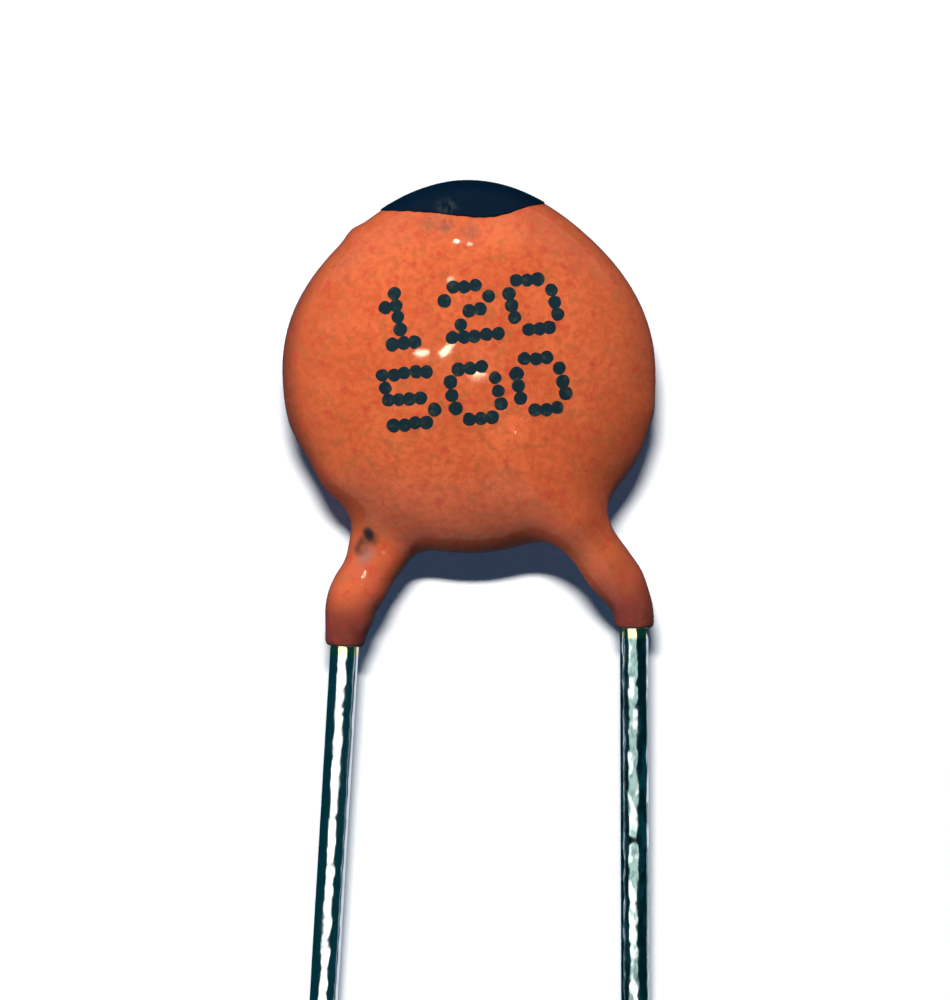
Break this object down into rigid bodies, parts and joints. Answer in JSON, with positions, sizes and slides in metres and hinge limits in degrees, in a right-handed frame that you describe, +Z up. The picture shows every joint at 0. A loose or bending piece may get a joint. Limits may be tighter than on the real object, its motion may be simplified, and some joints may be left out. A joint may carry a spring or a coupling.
{
  "type": "ceramic disc capacitor",
  "caption": "Small dipped ceramic disc capacitor, lying flat, with a round coated body, coated legs and two long straight radial wire leads.",
  "frame": {"origin": "middle of the part's box, on the level surface that it lies on", "axes": "+Z up, the front face of the disc looks along it; -Y is the way the leads run; +X is the side of the front lead"},
  "size_m": [0.007, 0.0278, 0.0025],
  "materials": {
    "coating": "satin orange dipped phenolic, lightly mottled",
    "tip_ink": "thin satin black ink",
    "tinned_wire": "bright tin plating over drawn wire",
    "solder": "satin solder",
    "silver": "matt fired silver",
    "ceramic": "bare fired ceramic"
  },
  "bodies": {
    "root": {"coating": "coating", "tip_mark": "tip_ink", "front_lead": "tinned_wire", "rear_lead": "tinned_wire", "front_solder": "solder", "rear_solder": "solder", "front_electrode": "silver", "rear_electrode": "silver", "ceramic_disc": "ceramic"}
  },
  "joints": []
}
